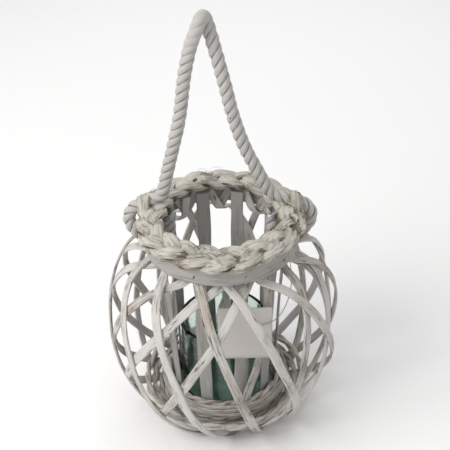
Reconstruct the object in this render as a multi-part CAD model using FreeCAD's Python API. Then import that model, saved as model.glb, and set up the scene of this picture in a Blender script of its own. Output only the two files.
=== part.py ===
import FreeCAD, Part
import math
import os

os.makedirs("parts", exist_ok=True)

# A basket lantern of split willow: an inner cage of upright slats round a glass jar, an outer
# globe of crossing strips in two layers, a plaited rim, and a laid rope handle that threads
# the rim at two eyes. Millimetres. The origin is the middle of the base on the surface that
# the lantern stands on, +Z is up, and azimuths are counted from the front (-Y) towards +X.

# ---- gaps
layer_gap = 0.3            # where loose pieces seat
strip_gap = 0.45           # between the layers of strips
rope_gap = 0.35            # round the rope

# ---- rim
plait_radius = 67.0        # middle of the plait
plait_height = 220.0       # height of the middle of the plait
plait_half_width = 14.0
plait_half_thickness = 5.5
plait_slope = 16.0         # degrees, falling outward
band_thickness = 2.5
band_bottom = 195.0

# ---- willow
strip_width = 8.5
strip_thickness = 2.8
strip_crown = 1.2          # how much the bark side is rounded
slat_width = 13.5
slat_thickness = 2.0
slat_crown = 0.4
tuck_radius = 69.0         # middle of the outer strips under the band
tuck_top = 211.2
globe_radius = 113.1       # middle of the outer strips at their widest
base_inset = 50.0          # where the strips end under the base

# ---- jar
jar_radius = 44.0
jar_height = 91.0
jar_wall = 3.6
jar_floor = 6.0
jar_foot_round = 5.0

# ---- base
floor_thickness = 6.0
floor_margin = 6.2         # how far the floor reaches past the jar
floor_radius = jar_radius + floor_margin
floor_boss_radius = base_inset - 4.0    # the part that reaches down to the table
weaver_count = 4
weaver_radius = floor_radius + 7.5
weaver_half_width = 3.5
weaver_half_height = 4.0
outer_weaver_count = 3
outer_weaver_half = 3.8    # half the thickness of a round one
outer_weaver_start = weaver_radius + 16.3 - base_inset    # along the globe from the strips' ends
outer_weaver_pitch = 10.6
upright_share = 0.81       # how much of the way round the globe the upright strips run
base_hoop_bottom = 24.5
base_hoop_height = 14.0
base_hoop_thickness = 2.7

# ---- rope
rope_radius = 6.25
handle_plane = 20.0        # the handle's plane lies this far behind the middle
left_foot = -57.0
right_foot = 50.0
eye_plait_gap = 0.75       # between the rope and the plait's outer edge, beside the handle's plane
left_eye_slack = 1.0       # how much wider the left eye stands than the right one
wire_radius = 0.4
wire_turns = 8
wire_bottom = 207.5

# ---- tag
tag_width = 50.5
tag_height = 60.0
tag_thickness = 0.8
tag_left = -5.0
tag_bottom = 106.0
tag_plane = -68.0
tag_hole_radius = 1.3
tag_hole_inset = 21.5      # from the right edge
tag_hole_height = 45.0     # above the lower edge
string_radius = 0.5
knot_radius = 1.8

# ---- fastenings
nail_radius = 0.6
nail_head_radius = 1.7
nail_head_height = 0.8
nail_height = 203.0


def vector(x, y, z):
    return FreeCAD.Vector(x, y, z)


UP = vector(0, 0, 1)
CENTRE = vector(0, 0, 0)


def save(name, shape):
    if not shape.isValid():
        raise RuntimeError(name + " is not a valid solid")
    shape.exportStep(os.path.join("parts", name + ".step"))
    print(name, "solids", len(shape.Solids), "volume", round(shape.Volume, 1))


def at(azimuth, radius, height):
    angle = math.radians(azimuth)
    return vector(radius * math.sin(angle), -radius * math.cos(angle), height)


def spin(face):
    """A full turn about the lantern's own axis."""
    return face.revolve(CENTRE, UP, 360)


def ring(inner, outer, bottom, top):
    outside = Part.makeCylinder(outer, top - bottom, vector(0, 0, bottom))
    inside = Part.makeCylinder(inner, top - bottom, vector(0, 0, bottom))
    return outside.cut(inside)


# ---- the plait and what seats under it

def plait_underside(radius):
    """Height of the tilted oval's lower side at a distance from the axis."""
    tilt = math.radians(-plait_slope)
    reach = radius - plait_radius
    wide = plait_half_width ** 2
    thick = plait_half_thickness ** 2
    a = math.sin(tilt) ** 2 / wide + math.cos(tilt) ** 2 / thick
    b = 2 * reach * math.sin(tilt) * math.cos(tilt) * (1 / wide - 1 / thick)
    c = reach ** 2 * (math.cos(tilt) ** 2 / wide + math.sin(tilt) ** 2 / thick) - 1
    return plait_height + (-b - math.sqrt(b * b - 4 * a * c)) / (2 * a)


def plait_top():
    tilt = math.radians(plait_slope)
    rise = math.hypot(plait_half_width * math.sin(tilt), plait_half_thickness * math.cos(tilt))
    return plait_height + rise


def rim_plait():
    oval = Part.Ellipse(CENTRE, plait_half_width, plait_half_thickness).toShape()
    oval.rotate(CENTRE, vector(0, 0, 1), -plait_slope)
    oval.rotate(CENTRE, vector(1, 0, 0), 90)
    oval.translate(vector(plait_radius, 0, plait_height))
    return spin(Part.Face(Part.Wire([oval])))


def seat_under_plait(inner, outer):
    return min(plait_underside(inner), plait_underside(outer)) - layer_gap


# ---- willow laid along the globe

def meridian(points):
    curve = Part.BSplineCurve()
    curve.interpolate([vector(radius, 0, height) for radius, height in points])
    return curve


def globe_meridian():
    """Middle of the outer strips, from under the rim band down to under the base."""
    wide = globe_radius
    flare = band_bottom - 0.8
    foot = strip_thickness / 2
    return meridian([
        (tuck_radius, tuck_top), (tuck_radius, tuck_top - 7.0), (tuck_radius, flare + 4.0),
        (tuck_radius, flare + 0.6), (tuck_radius + 0.7, flare - 2.2),
        (tuck_radius + 2.8, flare - 4.2), (tuck_radius + 6.2, flare - 5.6),
        (wide * 0.72, flare - 7.8), (wide * 0.81, 180.2), (wide * 0.893, 168.0),
        (wide * 0.968, 146.0), (wide, 118.0), (wide, 92.0), (wide * 0.957, 62.0),
        (wide * 0.872, 39.0), (wide * 0.765, 21.0), (wide * 0.665, 8.6), (wide * 0.6, foot + 1.7),
        (wide * 0.545, foot + 0.1), (wide * 0.5, foot), (base_inset, foot)])


def slat_meridian():
    """Middle of the upright slats, upright inside the base and leaning out to the rim."""
    foot = floor_radius + 0.4 + slat_thickness / 2
    head = slat_head()
    bottom = floor_bottom()
    return meridian([
        (head, tuck_top + 1.0), (head - 0.1, 196.0), (head - 2.0, 168.0), (head - 5.2, 122.0),
        (foot + 2.4, 76.0), (foot + 0.4, 44.0), (foot, 26.0), (foot, bottom)])


def inside_meridian():
    """Middle of the strip that hangs between cage and globe, from the band to the wound base."""
    head = tuck_radius - 2 * (strip_thickness + strip_gap)
    foot = weaver_radius + 0.8
    bottom = weaver_height(weaver_count - 1) + weaver_half_height + layer_gap + 1.0
    return meridian([
        (head, tuck_top), (head, 204.0), (head + 0.3, 196.0), (head + 3.4, 186.0),
        (head + 7.2, 172.0), (head + 7.2, 137.0), (head + 4.2, 95.0), (foot, bottom)])


def willow(curve, depth, start, finish, width, thickness, crown, stations, share=1.0, bow=0.0):
    """A split of willow on the globe, sunk by depth under the curve's own layer.

    Between its two azimuths it takes the straightest line on the globe, so it turns faster
    where the globe is narrow: the turn per length goes with one over the radius squared.
    Half way it strays from that line by bow degrees.
    """
    points = curve.discretize(Number=stations)
    points = points[:max(2, int(round(stations * share)))]
    middles = []
    normals = []
    for point in points:
        tangent = curve.tangent(curve.parameter(point))[0]
        normal = vector(-tangent.z, 0, tangent.x)
        middles.append(point - normal * depth)
        normals.append(normal)
    turned = [0.0]
    for first, second in zip(middles, middles[1:]):
        mean = (first.x + second.x) / 2
        turned.append(turned[-1] + (second - first).Length / mean ** 2)
    places = []
    outwards = []
    for middle, normal, turn in zip(middles, normals, turned):
        passed = turn / turned[-1]
        azimuth = start + (finish - start) * passed + bow * math.sin(math.pi * passed)
        places.append(at(azimuth, middle.x, middle.z))
        outwards.append(at(azimuth, normal.x, normal.z))
    sections = []
    for index, place in enumerate(places):
        before = places[max(index - 1, 0)]
        after = places[min(index + 1, len(places) - 1)]
        along = (after - before).normalize()
        across = along.cross(outwards[index]).normalize()
        out = across.cross(along)
        sections.append(split_section(place, across, out, width, thickness, crown))
    return Part.makeLoft(sections, True, False)


def split_section(place, across, out, width, thickness, crown):
    """Flat inside, rounded on the bark side."""
    half = width / 2
    inner = -thickness / 2
    shoulder = thickness / 2 - crown
    left_inner = place - across * half + out * inner
    right_inner = place + across * half + out * inner
    left_outer = place - across * half + out * shoulder
    right_outer = place + across * half + out * shoulder
    top = place + out * (thickness / 2)
    return Part.Wire([
        Part.makeLine(left_inner, right_inner), Part.makeLine(right_inner, right_outer),
        Part.Arc(right_outer, top, left_outer).toShape(), Part.makeLine(left_outer, left_inner)])


# azimuth under the rim and azimuth under the base, in degrees
slat_azimuths = [-65, -20, 17, 51, 90, 128, 164, 197, 235, 268]
right_hand_strips = [
    (-58, 17), (-26, 42), (-6, 74), (16, 126), (57, 140), (83, 162),
    (138, 205), (172, 240), (200, 270), (228, 318), (275, 352)]
left_hand_strips = [
    (-12, -144), (20, -127), (39, -82), (66, 16), (92, 34), (129, 70),
    (158, 100), (190, 128), (221, 152), (287, 182), (312, 200)]
upright_strips = [(76, 70), (213, 222)]
inside_strip_turn = (40, 20.5, 2.5)    # the two azimuths and the bow


# ---- rope

def rounded_path(points, name):
    """Straight runs joined by tangent arcs as large as the shorter run allows."""
    edges = []
    here = points[0]
    tightest = None
    for before, corner, after in zip(points, points[1:], points[2:]):
        arrive = corner - before
        leave = after - corner
        turn = arrive.getAngle(leave)
        shorter = min(arrive.Length, leave.Length)
        radius = 0.45 * shorter / math.tan(turn / 2)
        tightest = radius if tightest is None else min(tightest, radius)
        inward = arrive.normalize()
        outward = leave.normalize()
        cut = radius * math.tan(turn / 2)
        first = corner - inward * cut
        last = corner + outward * cut
        bisector = (outward - inward).normalize()
        middle = corner + bisector * (radius / math.cos(turn / 2) - radius)
        edges.append(Part.LineSegment(here, first).toShape())
        edges.append(Part.Arc(first, middle, last).toShape())
        here = last
        print(name, "arc radius", round(radius, 2), "turn", round(math.degrees(turn), 1))
    edges.append(Part.LineSegment(here, points[-1]).toShape())
    path = Part.Wire(edges)
    print(name, "tightest", round(tightest, 2), "length", round(path.Length, 1))
    return path


def tube(points, radius, name):
    path = rounded_path(points, name)
    start = (points[1] - points[0]).normalize()
    circle = Part.Wire([Part.Circle(points[0], start, radius).toShape()])
    solid = path.makePipeShell([circle], True, False, 2)
    expected = math.pi * radius ** 2 * path.Length
    print(name, "volume over section times length", round(solid.Volume / expected, 4))
    return solid


def in_handle_plane(pairs):
    return [vector(x, handle_plane, z) for x, z in pairs]


def pivot_height():
    return plait_top() + rope_gap + rope_radius


def handle_route():
    """From the left foot up over the folded crown and down to the right foot.

    The points between the feet are given by their height above the middle of the plait.
    """
    foot = pivot_height() - plait_height
    left = [(left_foot, foot), (-50.0, 38.0), (-40.5, 71.0), (-33.5, 102.0), (-28.5, 135.0),
            (-23.0, 171.0), (-19.0, 189.0)]
    right = [(-6.0, 189.0), (-1.5, 171.0), (4.5, 144.0), (9.5, 118.0), (16.0, 87.0),
             (26.0, 57.0), (39.5, 33.5), (right_foot, foot)]
    return in_handle_plane([(x, plait_height + rise) for x, rise in left + right])


def eye_route(side, foot, outside):
    """Over the rim, down outside it, in under the band and up inside the cage."""
    top = pivot_height()
    start = foot + side * (rope_radius + layer_gap)
    under = band_bottom - rope_radius
    return in_handle_plane([
        (start, top), (start + side * 8.0, top - 0.1), (side * (outside - 6.0), top - 5.4),
        (side * (outside - 0.6), top - 16.0), (side * outside, top - 27.5),
        (side * (outside - 3.0), under + 7.0), (side * (outside - 13.0), under - 1.5),
        (side * 60.5, under - 3.3), (side * 50.0, under + 4.0),
        (side * tail_middle(), under + 16.0), (side * (tail_middle() + 0.1), under + 27.6)])


def slat_head():
    """Distance of the slats' heads from the axis, inside both layers of strips."""
    return tuck_radius - 1.5 * strip_thickness - 2 * strip_gap - slat_thickness / 2 - 0.8


def tail_middle():
    """Sideways place of the rope's tail, clear of the slats by its wire."""
    inner = slat_head() - slat_thickness / 2
    reach = inner - layer_gap - rope_radius - 0.1 - 2 * wire_radius
    return math.sqrt(reach ** 2 - handle_plane ** 2)


def rope_handle():
    route = handle_route()
    body = tube(route, rope_radius, "rope_handle")
    for foot in (route[0], route[-1]):
        body = body.fuse(Part.makeSphere(rope_radius, foot))
    return body.removeSplitter()


def wire_binding(side):
    """Close turns of wire whipped round the tail of the rope."""
    inner = rope_radius + 0.1
    edges = [Part.makeLine(vector(inner, 0, 0), vector(inner + wire_radius, 0, 0))]
    for turn in range(wire_turns):
        low = turn * 2 * wire_radius
        start = vector(inner + wire_radius, 0, low)
        bulge = vector(inner + 2 * wire_radius, 0, low + wire_radius)
        end = vector(inner + wire_radius, 0, low + 2 * wire_radius)
        edges.append(Part.Arc(start, bulge, end).toShape())
    height = wire_turns * 2 * wire_radius
    edges.append(Part.makeLine(vector(inner + wire_radius, 0, height), vector(inner, 0, height)))
    edges.append(Part.makeLine(vector(inner, 0, height), vector(inner, 0, 0)))
    coil = Part.Face(Part.Wire(edges)).revolve(CENTRE, UP, 360)
    coil.translate(vector(side * (tail_middle() + 0.05), handle_plane, wire_bottom))
    return coil


# ---- base, jar, tag and nails

def floor_bottom():
    return 2 * strip_thickness + strip_gap + 2 * layer_gap


def base_floor():
    """A disc resting on the strips' ends, with a boss down to the table."""
    disc = Part.makeCylinder(floor_radius, floor_thickness, vector(0, 0, floor_bottom()))
    return disc.fuse(Part.makeCylinder(floor_boss_radius, floor_bottom())).removeSplitter()


def weaver_height(index):
    pitch = 2 * weaver_half_height + layer_gap
    return floor_bottom() + layer_gap + weaver_half_height + index * pitch


def weaver(index):
    oval = Part.Ellipse(CENTRE, weaver_half_height, weaver_half_width).toShape()
    oval.rotate(CENTRE, vector(0, 0, 1), 90)
    oval.rotate(CENTRE, vector(1, 0, 0), 90)
    oval.translate(vector(weaver_radius, 0, weaver_height(index)))
    return spin(Part.Face(Part.Wire([oval])))


def outer_weaver(index):
    """A round ring lying against the strips where the globe turns up from its base."""
    globe = globe_meridian()
    distance = globe.length() - outer_weaver_start - index * outer_weaver_pitch
    parameter = globe.parameterAtDistance(distance, globe.FirstParameter)
    tangent = globe.tangent(parameter)[0]
    inward = vector(tangent.z, 0, -tangent.x)
    depth = 1.5 * strip_thickness + strip_gap + layer_gap + outer_weaver_half
    middle = globe.value(parameter) + inward * depth
    return Part.makeTorus(middle.x, outer_weaver_half, vector(0, 0, middle.z))


def base_hoop():
    inner = weaver_radius + weaver_half_width + layer_gap
    return ring(inner, inner + base_hoop_thickness, base_hoop_bottom,
                base_hoop_bottom + base_hoop_height)


def glass_jar():
    bottom = floor_bottom() + floor_thickness + layer_gap
    outside = Part.makeCylinder(jar_radius, jar_height, vector(0, 0, bottom))
    foot = [edge for edge in outside.Edges if edge.BoundBox.ZMax < bottom + 0.01
            and edge.BoundBox.XLength > jar_radius]
    outside = outside.makeFillet(jar_foot_round, foot)
    inside = Part.makeCylinder(jar_radius - jar_wall, jar_height, vector(0, 0, bottom + jar_floor))
    jar = outside.cut(inside)
    lip = [edge for edge in jar.Edges if edge.BoundBox.ZMin > bottom + jar_height - 0.01]
    return jar.makeFillet(jar_wall * 0.42, lip)


def tag_hole():
    return vector(tag_left + tag_width - tag_hole_inset, tag_plane, tag_bottom + tag_hole_height)


def tag_card():
    card = Part.makeBox(tag_width, tag_thickness, tag_height,
                        vector(tag_left, tag_plane - tag_thickness / 2, tag_bottom))
    hole = tag_hole() - vector(0, tag_thickness, 0)
    return card.cut(Part.makeCylinder(tag_hole_radius, 2 * tag_thickness, hole, vector(0, 1, 0)))


def string_route():
    """From under the plait down past the tag's edge, over its face and through its hole."""
    hole = tag_hole()
    front = tag_plane - tag_thickness / 2 - string_radius - layer_gap
    top = plait_underside(79.0) - 2 * layer_gap
    return [
        vector(60.0, -51.2, top), vector(62.4, -51.8, 201.0), vector(63.6, -53.6, 188.0),
        vector(62.2, -58.6, 174.5), vector(57.0, -65.0, 162.5), vector(49.5, front, 153.0),
        vector(41.0, front - 0.5, 148.2), vector(33.0, front - 0.8, 147.0),
        vector(hole.x + 2.4, front - 1.6, hole.z - 1.2), vector(hole.x - 0.2, front + 0.4, hole.z - 0.1),
        vector(hole.x, tag_plane + 2.6, hole.z)]


def tag_string():
    route = string_route()
    line = tube(route, string_radius, "tag_string")
    knot = Part.makeSphere(knot_radius, route[-1])
    return line.fuse(knot).removeSplitter()


def band_faces():
    inner = tuck_radius + strip_thickness / 2 + layer_gap
    return inner, inner + band_thickness


def rim_nails():
    """One short nail through the band at each slat, its head on the band."""
    outer = band_faces()[1]
    shank = band_thickness + nail_head_height / 2
    nails = []
    for azimuth in slat_azimuths:
        inward = at(azimuth, -1, 0)
        start = at(azimuth, outer + nail_head_height, nail_height)
        head = Part.makeCylinder(nail_head_radius, nail_head_height - 0.05, start, inward)
        pin = Part.makeCylinder(nail_radius, shank, start, inward)
        nails.append(head.fuse(pin).removeSplitter())
    return nails


def rim_band():
    inner, outer = band_faces()
    band = ring(inner, outer, band_bottom, seat_under_plait(inner, outer))
    for azimuth in slat_azimuths:
        start = at(azimuth, outer + 1, nail_height)
        hole = Part.makeCylinder(nail_radius + 0.05, band_thickness + 2, start, at(azimuth, -1, 0))
        band = band.cut(hole)
    return band


def main():
    save("rim_plait", rim_plait())
    save("rim_band", rim_band())
    save("rim_nails", Part.makeCompound(rim_nails()))

    globe = globe_meridian()
    cage = slat_meridian()
    layer = strip_thickness + strip_gap
    for number, azimuth in enumerate(slat_azimuths, 1):
        slat = willow(cage, 0, azimuth, azimuth, slat_width, slat_thickness, slat_crown, 12)
        save("cage_slat_%02d" % number, slat)
    for number, (start, finish) in enumerate(right_hand_strips, 1):
        strip = willow(globe, 0, start, finish, strip_width, strip_thickness, strip_crown, 56)
        save("outer_strip_%02d" % number, strip)
    for number, (start, finish) in enumerate(left_hand_strips, 1):
        strip = willow(globe, layer, start, finish, strip_width, strip_thickness, strip_crown, 56)
        save("inner_strip_%02d" % number, strip)
    for number, (start, finish) in enumerate(upright_strips, 1):
        strip = willow(globe, 2 * layer, start, finish, strip_width, strip_thickness,
                       strip_crown, 56, upright_share)
        save("upright_strip_%02d" % number, strip)
    start, finish, bow = inside_strip_turn
    save("inside_strip", willow(inside_meridian(), 0, start, finish, strip_width, strip_thickness,
                                strip_crown, 30, bow=bow))

    save("base_floor", base_floor())
    for index in range(weaver_count):
        save("base_weaver_%d" % (index + 1), weaver(index))
    for index in range(outer_weaver_count):
        save("base_weaver_%d" % (weaver_count + index + 1), outer_weaver(index))
    save("base_hoop", base_hoop())
    save("glass_jar", glass_jar())

    save("rope_handle", rope_handle())
    reach = plait_radius + plait_half_width - 2.0 + rope_radius + eye_plait_gap
    for side, foot, reach, name in ((-1, left_foot, reach + left_eye_slack, "rope_eye_left"),
                                    (1, right_foot, reach, "rope_eye_right")):
        save(name, tube(eye_route(side, foot, reach), rope_radius, name))
    save("wire_binding_left", wire_binding(-1))
    save("wire_binding_right", wire_binding(1))

    save("tag_card", tag_card())
    save("tag_string", tag_string())


main()
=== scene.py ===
"""A hanging basket lantern of whitewashed willow with a rope handle, a plaited rim and a glass jar.

Every length is in metres, in the lantern's own frame: the origin is the middle of the base on the
surface that the lantern stands on, +Z is up, and azimuths are counted from the front (-Y) to +X.
"""
import logging
import math
from collections.abc import Callable
from dataclasses import dataclass
from enum import Enum

import bpy
import numpy as np
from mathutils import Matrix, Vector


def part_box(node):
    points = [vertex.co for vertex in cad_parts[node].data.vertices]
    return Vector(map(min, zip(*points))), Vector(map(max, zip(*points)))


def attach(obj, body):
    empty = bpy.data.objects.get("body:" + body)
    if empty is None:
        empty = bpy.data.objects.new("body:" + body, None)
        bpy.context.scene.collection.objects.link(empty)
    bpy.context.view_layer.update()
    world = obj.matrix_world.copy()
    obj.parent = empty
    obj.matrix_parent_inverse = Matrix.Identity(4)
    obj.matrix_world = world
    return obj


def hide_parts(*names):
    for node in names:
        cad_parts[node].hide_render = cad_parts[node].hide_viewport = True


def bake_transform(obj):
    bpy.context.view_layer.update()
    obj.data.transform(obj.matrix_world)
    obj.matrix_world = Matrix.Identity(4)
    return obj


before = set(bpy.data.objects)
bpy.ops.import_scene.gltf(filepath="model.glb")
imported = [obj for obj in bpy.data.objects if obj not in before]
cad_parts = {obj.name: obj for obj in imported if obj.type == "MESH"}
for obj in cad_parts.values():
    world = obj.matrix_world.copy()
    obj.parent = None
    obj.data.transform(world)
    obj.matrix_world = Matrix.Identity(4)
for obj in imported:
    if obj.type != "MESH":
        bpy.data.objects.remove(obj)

LOG = logging.getLogger("lantern")
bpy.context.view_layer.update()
MM = 0.001
TAU = 2 * math.pi
FLOOR_RADIUS = 50.2 * MM
Colour = tuple[float, float, float]


# ---------------------------------------------------------------- shader maths


class Graph:
    """The nodes of one material, ended by a principled surface."""

    def __init__(self, name: str) -> None:
        """Starts an empty material of that name."""
        self.material = bpy.data.materials.new(name)
        self.material.use_nodes = True
        self.tree = self.material.node_tree
        self.tree.nodes.clear()

    def add(self, kind: str, output: str | int, values: dict | None = None, **settings: str) -> "Value":
        """Adds one node.

        Args:
            kind: the node's type, such as ShaderNodeTexNoise.
            output: the name or number of the output that is wanted.
            values: socket name or number to a plain value, or to a Value, which is linked.
            settings: the node's own properties, set before its sockets.

        Returns:
            The wanted output.
        """
        node = self.tree.nodes.new(kind)
        for key, setting in settings.items():
            setattr(node, key, setting)
        for key, value in (values or {}).items():
            socket = node.inputs[key]
            if isinstance(value, Value):
                self.tree.links.new(value.socket, socket)
            elif isinstance(value, tuple) and socket.type == "RGBA":
                socket.default_value = (*value, 1.0)
            else:
                socket.default_value = value
        return Value(self, node.outputs[output])

    def grain(self) -> "Value":
        """Where a point lies along and across the fibre, in millimetres."""
        grain = self.add("ShaderNodeAttribute", "Vector", attribute_name="grain")
        return self.stretch(grain, (1000.0, 1000.0, 1000.0))

    def amount(self, name: str) -> "Value":
        """A named attribute of the piece, as one number."""
        return self.add("ShaderNodeAttribute", "Fac", attribute_name=name)

    def place(self) -> "Value":
        """The piece's own coordinates."""
        return self.add("ShaderNodeTexCoord", "Object")

    def stretch(self, vector: "Value", scale: Colour, shift: Colour = (0.0, 0.0, 0.0)) -> "Value":
        """A vector times a scale plus a shift, axis by axis."""
        return self.add("ShaderNodeMapping", "Vector", {"Vector": vector, "Scale": scale, "Location": shift})

    def noise(self, vector: "Value", scale: float, detail: float = 4.0, rough: float = 0.55) -> "Value":
        """Cloudy noise between 0 and 1.

        Args:
            vector: where it is read.
            scale: how many clouds fit in one unit.
            detail: octaves.
            rough: the share of each finer octave.

        Returns:
            The noise.
        """
        values = {"Vector": vector, "Scale": scale, "Detail": detail, "Roughness": rough}
        return self.add("ShaderNodeTexNoise", "Fac", values)

    def spots(self, vector: "Value", scale: float) -> "Value":
        """Distance to the nearest of scattered points, of which so many as the scale says fit in one unit."""
        return self.add("ShaderNodeTexVoronoi", "Distance", {"Vector": vector, "Scale": scale})

    def blend(self, share: "Value | float", first: "Value | Colour", second: "Value | Colour") -> "Value":
        """Mixes two colours: the first at a share of 0, the second at 1."""
        return self.add("ShaderNodeMix", 2, {0: share, 6: first, 7: second}, data_type="RGBA")

    def bump(self, height: "Value", depth: float, strength: float) -> "Value":
        """Turns a height into a normal.

        Args:
            height: the relief, 0 to 1.
            depth: what 1 stands for, in metres.
            strength: how much of it shows.

        Returns:
            The normal.
        """
        values = {"Height": height, "Distance": depth, "Strength": strength}
        return self.add("ShaderNodeBump", "Normal", values)

    def surface(self, values: dict) -> bpy.types.Material:
        """Ends the material with a principled shader of these socket values, and returns it."""
        shader = self.add("ShaderNodeBsdfPrincipled", "BSDF", values)
        ending = self.tree.nodes.new("ShaderNodeOutputMaterial")
        self.tree.links.new(shader.socket, ending.inputs["Surface"])
        return self.material


def math_node(operation: str, reflected: bool = False) -> Callable:
    """A method that adds one Math node.

    Args:
        operation: what the node does.
        reflected: whether the other operand comes first.

    Returns:
        The method, from a Value and its operands to a Value.
    """
    def method(self: "Value", *others: "Value | float") -> "Value":
        operands = (*others, self) if reflected else (self, *others)
        return self.graph.add("ShaderNodeMath", 0, dict(enumerate(operands)), operation=operation)
    return method


class Value:
    """A socket with arithmetic: each operator adds the Math node that does it."""

    __add__ = math_node("ADD")
    __radd__ = math_node("ADD", reflected=True)
    __sub__ = math_node("SUBTRACT")
    __rsub__ = math_node("SUBTRACT", reflected=True)
    __mul__ = math_node("MULTIPLY")
    __abs__ = math_node("ABSOLUTE")
    larger = math_node("MAXIMUM")

    def __init__(self, graph: Graph, socket: bpy.types.NodeSocket) -> None:
        """Wraps an output of a graph."""
        self.graph = graph
        self.socket = socket

    def ease(self, low: float, high: float) -> "Value":
        """A smooth step: 0 up to low, 1 from high, and falling where low is above high."""
        values = {"Value": self, "From Min": min(low, high), "From Max": max(low, high)}
        step = self.graph.add("ShaderNodeMapRange", "Result", values, interpolation_type="SMOOTHSTEP")
        return step if low < high else 1 - step


# ---------------------------------------------------------------- finishes


def shade(colour: Colour, share: float) -> Colour:
    """A darker colour: each part times a share."""
    return tuple(part * share for part in colour)


@dataclass(frozen=True)
class Willow:
    """Split willow, thinly washed with chalk: fibre shows as streaks, worn places are tan and cracked."""

    name: str
    wash: Colour = (0.63, 0.61, 0.58)
    wood: Colour = (0.29, 0.225, 0.155)
    crack: Colour = (0.045, 0.036, 0.028)
    thin_wash: float = 0.30
    cracking: float = 0.5
    flecks: float = 0.5

    def material(self) -> bpy.types.Material:
        """Streaks are noise that is long along the grain, and cracks are the level lines of such a noise.

        Returns:
            The finished material.
        """
        g = Graph(self.name)
        grain = g.grain()
        wear = g.amount("wear")
        fibre = g.noise(g.stretch(grain, (0.05, 1.5, 1.5)), 1.0, 5.0, 0.62)
        streak = g.noise(g.stretch(grain, (0.018, 0.42, 0.42)), 1.0, 4.0, 0.6)
        cloud = g.noise(g.stretch(grain, (0.035, 0.07, 0.07)), 1.0, 3.0)
        bare = (streak * 0.55 + cloud * 0.35 + fibre * 0.25 + wear * 0.42).ease(0.66, 0.98)
        level = abs(g.noise(g.stretch(grain, (0.022, 0.62, 0.62), (7.0, 3.0, 1.0)), 1.0, 3.0, 0.5) - 0.5)
        patch = (g.noise(g.stretch(grain, (0.05, 0.16, 0.16), (3.0, 9.0, 5.0)), 1.0, 2.0) + wear * 0.34)
        line = level.ease(0.020, 0.004) * patch.ease(0.53, 0.68) * self.cracking
        grit = g.spots(g.stretch(grain, (0.34, 0.85, 0.85)), 1.0).ease(0.20, 0.10)
        where = (g.noise(g.stretch(grain, (0.05, 0.11, 0.11), (1.0, 4.0, 8.0)), 1.0, 2.0) + wear * 0.22)
        fleck = grit * where.ease(0.53, 0.66) * self.flecks
        tone = g.blend(cloud.ease(0.3, 0.75), shade(self.wash, 0.93), self.wash)
        tone = g.blend(fibre.ease(0.35, 0.62) * 0.5, tone, shade(self.wash, 0.70))
        tone = g.blend(bare * (0.35 + self.thin_wash), tone, self.wood)
        tone = g.blend(line.larger(fleck), tone, self.crack)
        relief = fibre * 0.55 + streak * 0.45 - line * 1.2 - fleck * 0.5
        return g.surface({
            "Base Color": tone, "Roughness": 0.74 + fibre * 0.16, "Specular IOR Level": 0.25,
            "Normal": g.bump(relief, 0.0010, 0.9)})


@dataclass(frozen=True)
class LeafStrand:
    """Dry leaf in thinly washed bundles: pale on the crowns, tan at the folds from wear and painted shade,
    brown where it frays.
    """

    name: str
    wash: Colour = (0.62, 0.595, 0.53)
    leaf: Colour = (0.37, 0.31, 0.215)
    brown: Colour = (0.20, 0.125, 0.06)
    # Near black, for real splits in the leaf and for painted shade in the plait's deepest hollows.
    split_and_shade: Colour = (0.03, 0.022, 0.014)

    def material(self) -> bpy.types.Material:
        """Ribs run along each bundle; worn patches bring out the leaf's own colour, and depth in the plait
        adds painted shade: some tan, and near black in the deepest hollows.

        Returns:
            The finished material.
        """
        g = Graph(self.name)
        grain = g.grain()
        wear = g.amount("wear")
        hollow = g.amount("hollow")
        rib = g.noise(g.stretch(grain, (0.06, 1.25, 1.25)), 1.0, 5.0, 0.6)
        vein = g.noise(g.stretch(grain, (0.03, 2.6, 2.6), (4.0, 1.0, 2.0)), 1.0, 3.0, 0.5)
        cloud = g.noise(g.stretch(grain, (0.045, 0.11, 0.11)), 1.0, 3.0)
        # tan: the leaf's own colour in worn places, with painted shade added from the hollows.
        tan = (rib * 0.45 + cloud * 0.5 + wear * 0.62 + hollow * 0.35).ease(0.62, 0.98)
        rust = (vein * 0.5 + cloud * 0.25 + wear * 0.85).ease(0.78, 1.08)
        split = abs(rib - 0.5).ease(0.022, 0.004) * (cloud + wear * 0.3 + hollow * 0.25).ease(0.52, 0.72)
        tone = g.blend(vein.ease(0.35, 0.66) * 0.55, self.wash, shade(self.wash, 0.68))
        tone = g.blend(tan * 0.75, tone, self.leaf)
        tone = g.blend(rust * 0.85, tone, self.brown)
        # Near black: real splits in the leaf, and painted shade in the plait's deepest hollows.
        tone = g.blend((split * 0.75).larger(hollow.ease(0.62, 1.0) * 0.85), tone, self.split_and_shade)
        relief = rib * 0.7 + vein * 0.4 - split * 0.8
        return g.surface({
            "Base Color": tone, "Roughness": 0.66 + vein * 0.22, "Specular IOR Level": 0.3,
            "Normal": g.bump(relief, 0.0015, 1.0)})


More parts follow.
